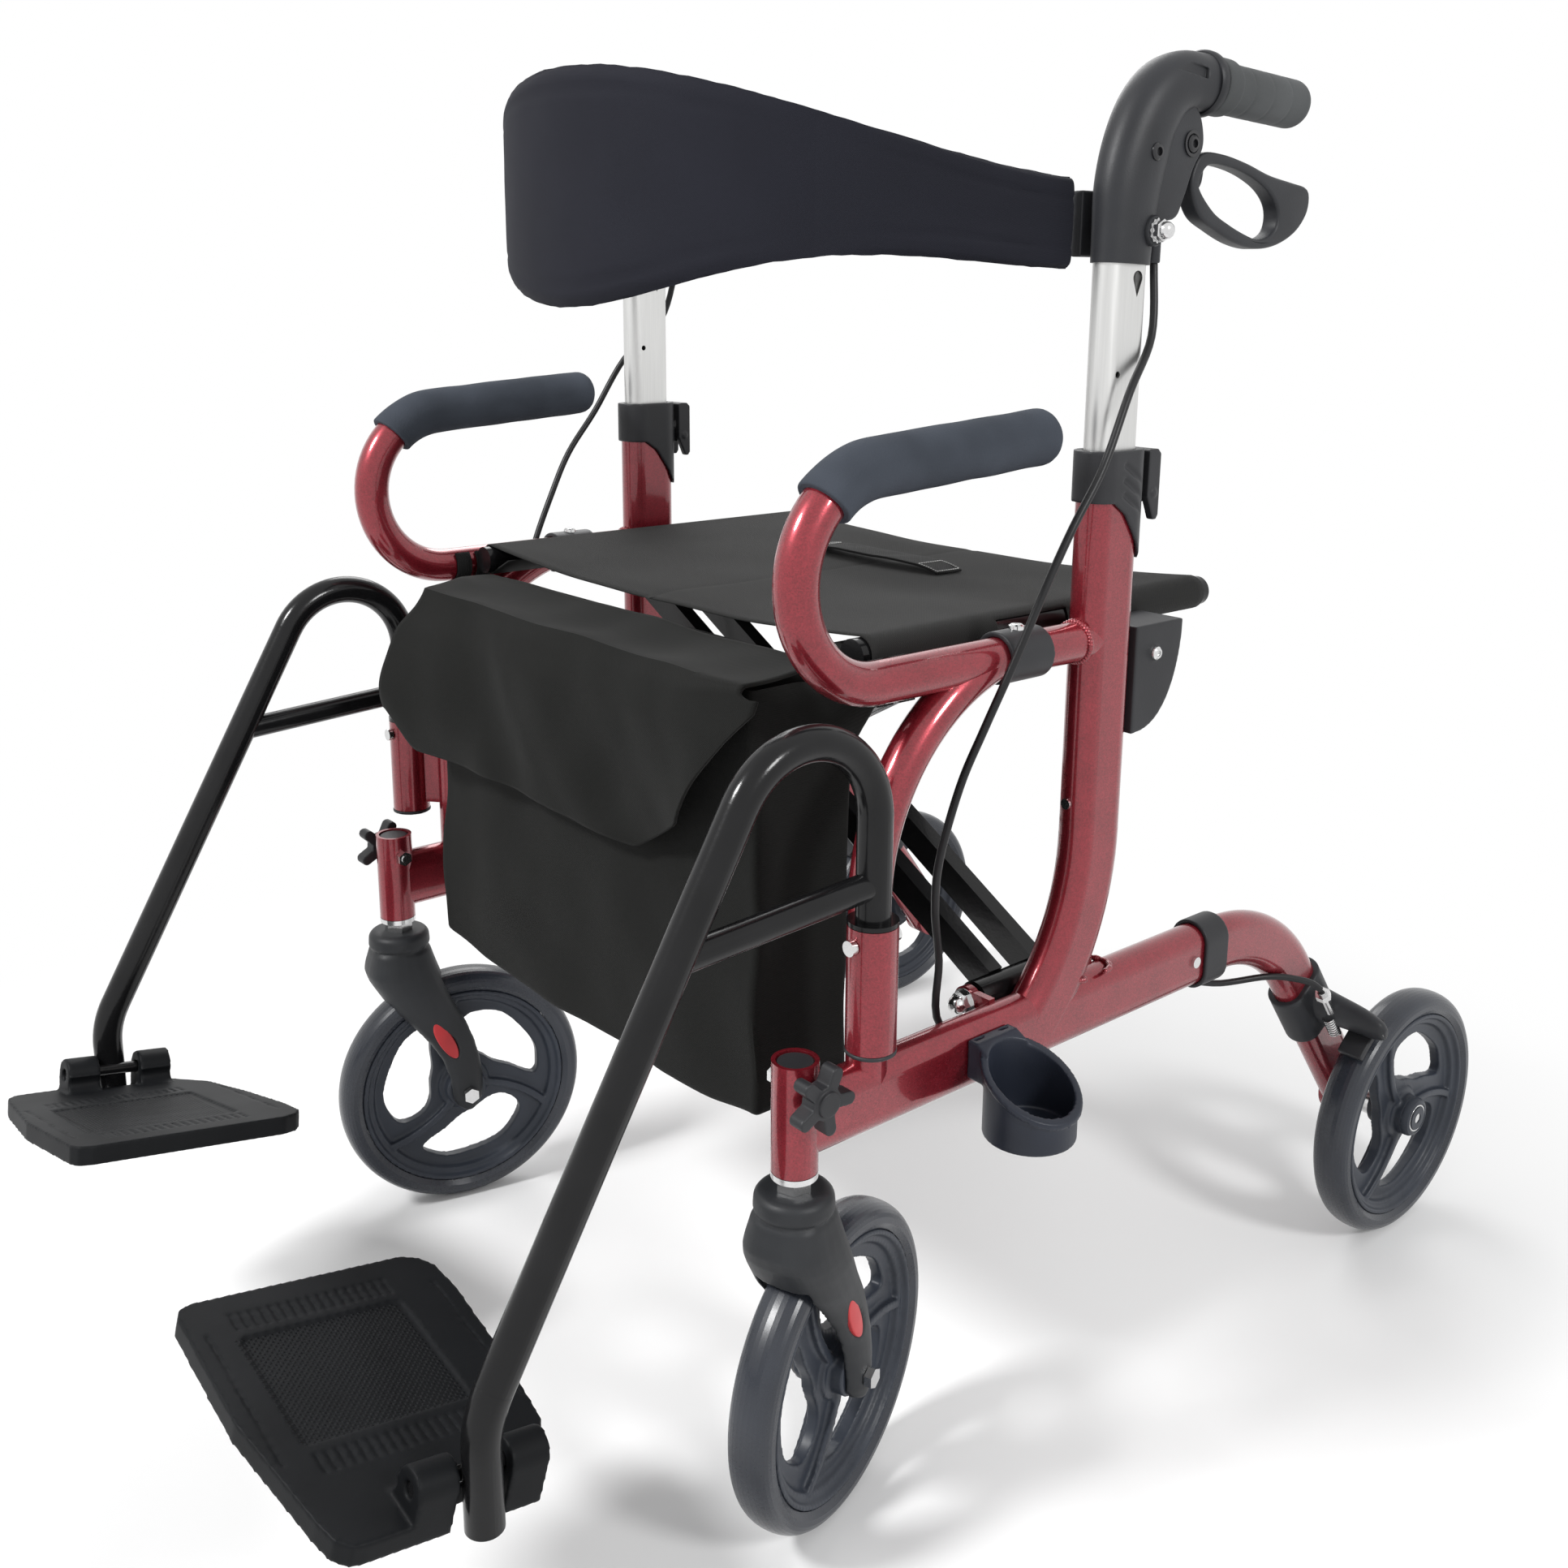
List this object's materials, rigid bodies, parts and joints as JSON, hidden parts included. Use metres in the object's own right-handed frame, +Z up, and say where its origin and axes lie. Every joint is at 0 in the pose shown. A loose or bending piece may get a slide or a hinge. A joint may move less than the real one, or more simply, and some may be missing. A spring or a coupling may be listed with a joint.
{
  "type": "rollator transport chair",
  "caption": "Folding wheeled walker that becomes a transport chair: red tubular side frames on a cross brace, sling seat, flip-over backrest, swing-away footrests, loop brakes and a cane cup.",
  "frame": {"origin": "On the floor under the middle of the box around the whole chair, open and with the footrests forward.", "axes": "+Z is up, -Y is the direction the rider faces and the footrests point, +X is the rider's left, the side with the cane cup."},
  "size_m": [0.6355, 1.0058, 0.8812],
  "materials": {
    "red_paint": "metallic gloss",
    "black_paint": "satin gloss",
    "black_plastic": "matt moulded",
    "aluminium": "satin anodised",
    "foam": "matt foam",
    "grip_rubber": "matt",
    "tyre": "satin polyurethane",
    "steel": "bright plated",
    "cable": "satin sleeve",
    "black_cloth": "woven",
    "back_cloth": "woven, bound edges"
  },
  "bodies": {
    "left_frame": {"side_frame_left": "red_paint", "rear_leg_left": "red_paint", "tube_collars_left": "black_plastic", "arm_pad_left": "foam", "seat_saddle_left": "black_plastic", "seat_rest_left": "black_plastic", "lock_housing_left": "black_plastic", "brake_cable_left": "cable", "brake_housing_left": "black_plastic", "frame_bolts_left": "steel", "cane_cup": "black_plastic", "bag": "black_cloth"},
    "right_frame": {"side_frame_right": "red_paint", "rear_leg_right": "red_paint", "tube_collars_right": "black_plastic", "arm_pad_right": "foam", "seat_saddle_right": "black_plastic", "seat_rest_right": "black_plastic", "lock_housing_right": "black_plastic", "brake_cable_right": "cable", "brake_housing_right": "black_plastic", "frame_bolts_right": "steel"},
    "arm_a": {"cross_arm_a": "black_paint", "cross_bolt": "steel", "seat": "black_cloth"},
    "arm_b": {"cross_arm_b": "black_paint"},
    "left_handle": {"handle_tube_left": "aluminium", "handle_shell_left": "black_plastic", "hand_grip_left": "grip_rubber"},
    "left_brake_lever": {"brake_lever_left": "black_plastic"},
    "left_brake_shoe": {"brake_shoe_left": "black_plastic"},
    "left_lock_lever": {"lock_lever_left": "black_plastic"},
    "left_caster": {"caster_fork_left": "black_plastic", "caster_bolts_left": "steel"},
    "left_front_wheel": {"front_rim_left": "black_plastic", "front_tyre_left": "tyre"},
    "left_rear_wheel": {"rear_rim_left": "black_plastic", "rear_tyre_left": "tyre"},
    "left_footrest": {"footrest_left": "black_paint"},
    "left_footplate": {"footplate_left": "black_plastic"},
    "left_star_knob": {"star_knob_left": "black_plastic"},
    "right_handle": {"handle_tube_right": "aluminium", "handle_shell_right": "black_plastic", "hand_grip_right": "grip_rubber"},
    "right_brake_lever": {"brake_lever_right": "black_plastic"},
    "right_brake_shoe": {"brake_shoe_right": "black_plastic"},
    "right_lock_lever": {"lock_lever_right": "black_plastic"},
    "right_caster": {"caster_fork_right": "black_plastic", "caster_bolts_right": "steel"},
    "right_front_wheel": {"front_rim_right": "black_plastic", "front_tyre_right": "tyre"},
    "right_rear_wheel": {"rear_rim_right": "black_plastic", "rear_tyre_right": "tyre"},
    "right_footrest": {"footrest_right": "black_paint"},
    "right_footplate": {"footplate_right": "black_plastic"},
    "right_star_knob": {"star_knob_right": "black_plastic"},
    "backrest": {"backrest": "back_cloth", "backrest_arm_left": "black_plastic"},
    "right_back_arm": {"backrest_arm_right": "black_plastic"},
    "bag_flap": {"bag_flap": "black_cloth"}
  },
  "joints": [
    {"name": "fold", "type": "hinge", "parent": "left_frame", "child": "arm_a", "pos_m": [0.21375, 0.01597, 0.3], "axis": [0, 1, 0], "range_deg": [0, 30.5], "deforming": ["seat", "bag", "bag_flap", "backrest"]},
    {"name": "fold_cross", "type": "hinge", "parent": "arm_a", "child": "arm_b", "pos_m": [-0.00525, 0.01597, 0.42207], "axis": [0, 1, 0], "range_deg": [-61, 0]},
    {"name": "fold_right", "type": "hinge", "parent": "arm_b", "child": "right_frame", "pos_m": [-0.22425, 0.01597, 0.3], "axis": [0, 1, 0], "range_deg": [0, 30.5]},
    {"name": "left_handle_height", "type": "slide", "parent": "left_frame", "child": "left_handle", "axis": [0, 0, 1], "range_m": [-0.1, 0.04], "deforming": ["brake_cable_left"]},
    {"name": "left_brake_pull", "type": "hinge", "parent": "left_handle", "child": "left_brake_lever", "pos_m": [0.23775, 0.09896, 0.827], "axis": [1, 0, 0], "range_deg": [0, 12], "stiffness_Nm_per_rad": 3, "springref_deg": -14.32},
    {"name": "left_shoe_press", "type": "hinge", "parent": "left_frame", "child": "left_brake_shoe", "pos_m": [0.28275, 0.33357, 0.1967], "axis": [1, 0, 0], "range_deg": [0, 4]},
    {"name": "left_lock_release", "type": "hinge", "parent": "left_frame", "child": "left_lock_lever", "pos_m": [0.23775, 0.08196, 0.62], "axis": [-1, 0, 0], "range_deg": [0, 25], "stiffness_Nm_per_rad": 1, "springref_deg": -17.19},
    {"name": "left_caster_swivel", "type": "hinge", "parent": "left_frame", "child": "left_caster", "pos_m": [0.23775, -0.19803, 0.22], "axis": [0, 0, 1], "continuous": true},
    {"name": "left_front_wheel_spin", "type": "hinge", "parent": "left_caster", "child": "left_front_wheel", "pos_m": [0.22347, -0.15536, 0.1], "axis": [0.9483, 0.3173, 0], "continuous": true},
    {"name": "left_rear_wheel_spin", "type": "hinge", "parent": "left_frame", "child": "left_rear_wheel", "pos_m": [0.28275, 0.40297, 0.1], "axis": [1, 0, 0], "continuous": true},
    {"name": "left_footrest_swing", "type": "hinge", "parent": "left_frame", "child": "left_footrest", "pos_m": [0.26575, -0.16703, 0.37], "axis": [0, 0, 1], "range_deg": [0, 90]},
    {"name": "left_footplate_flip", "type": "hinge", "parent": "left_footrest", "child": "left_footplate", "pos_m": [0.25675, -0.41803, 0.186], "axis": [0, 0.9823, -0.1874], "range_deg": [0, 78]},
    {"name": "left_star_knob_turn", "type": "hinge", "parent": "left_frame", "child": "left_star_knob", "pos_m": [0.25675, -0.19803, 0.307], "axis": [1, 0, 0], "continuous": true},
    {"name": "right_handle_height", "type": "slide", "parent": "right_frame", "child": "right_handle", "axis": [0, 0, 1], "range_m": [-0.1, 0.04], "deforming": ["brake_cable_right"]},
    {"name": "right_brake_pull", "type": "hinge", "parent": "right_handle", "child": "right_brake_lever", "pos_m": [-0.24825, 0.09896, 0.827], "axis": [1, 0, 0], "range_deg": [0, 12], "stiffness_Nm_per_rad": 3, "springref_deg": -14.32},
    {"name": "right_shoe_press", "type": "hinge", "parent": "right_frame", "child": "right_brake_shoe", "pos_m": [-0.29325, 0.33357, 0.1967], "axis": [1, 0, 0], "range_deg": [0, 4]},
    {"name": "right_lock_release", "type": "hinge", "parent": "right_frame", "child": "right_lock_lever", "pos_m": [-0.24825, 0.08196, 0.62], "axis": [-1, 0, 0], "range_deg": [0, 25], "stiffness_Nm_per_rad": 1, "springref_deg": -17.19},
    {"name": "right_caster_swivel", "type": "hinge", "parent": "right_frame", "child": "right_caster", "pos_m": [-0.24825, -0.19803, 0.22], "axis": [0, 0, 1], "continuous": true},
    {"name": "right_front_wheel_spin", "type": "hinge", "parent": "right_caster", "child": "right_front_wheel", "pos_m": [-0.23813, -0.15419, 0.1], "axis": [0.9744, -0.225, 0], "continuous": true},
    {"name": "right_rear_wheel_spin", "type": "hinge", "parent": "right_frame", "child": "right_rear_wheel", "pos_m": [-0.29325, 0.40297, 0.1], "axis": [1, 0, 0], "continuous": true},
    {"name": "right_footrest_swing", "type": "hinge", "parent": "right_frame", "child": "right_footrest", "pos_m": [-0.27625, -0.16703, 0.37], "axis": [0, 0, -1], "range_deg": [0, 90]},
    {"name": "right_footplate_flip", "type": "hinge", "parent": "right_footrest", "child": "right_footplate", "pos_m": [-0.26725, -0.41803, 0.186], "axis": [0, -0.9823, 0.1874], "range_deg": [0, 73]},
    {"name": "right_star_knob_turn", "type": "hinge", "parent": "right_frame", "child": "right_star_knob", "pos_m": [-0.26725, -0.19803, 0.307], "axis": [1, 0, 0], "continuous": true},
    {"name": "backrest_flip", "type": "hinge", "parent": "left_handle", "child": "backrest", "pos_m": [0.23775, 0.06296, 0.776], "axis": [-1, 0, 0], "range_deg": [0, 180]},
    {"name": "backrest_flip_right", "type": "hinge", "parent": "right_handle", "child": "right_back_arm", "pos_m": [-0.24825, 0.06296, 0.776], "axis": [-1, 0, 0], "range_deg": [0, 180]},
    {"name": "bag_flap_lift", "type": "hinge", "parent": "left_frame", "child": "bag_flap", "pos_m": [-0.00525, -0.12904, 0.524], "axis": [-1, 0, 0], "range_deg": [0, 85]}
  ],
  "couplings": [
    {"joint": "fold_cross", "follows": "fold", "ratio": -2},
    {"joint": "fold_right", "follows": "fold", "ratio": 1},
    {"joint": "left_shoe_press", "follows": "left_brake_pull", "ratio": 0.33333},
    {"joint": "right_shoe_press", "follows": "right_brake_pull", "ratio": 0.33333},
    {"joint": "right_handle_height", "follows": "left_handle_height", "ratio": 1},
    {"joint": "backrest_flip_right", "follows": "backrest_flip", "ratio": 1}
  ]
}
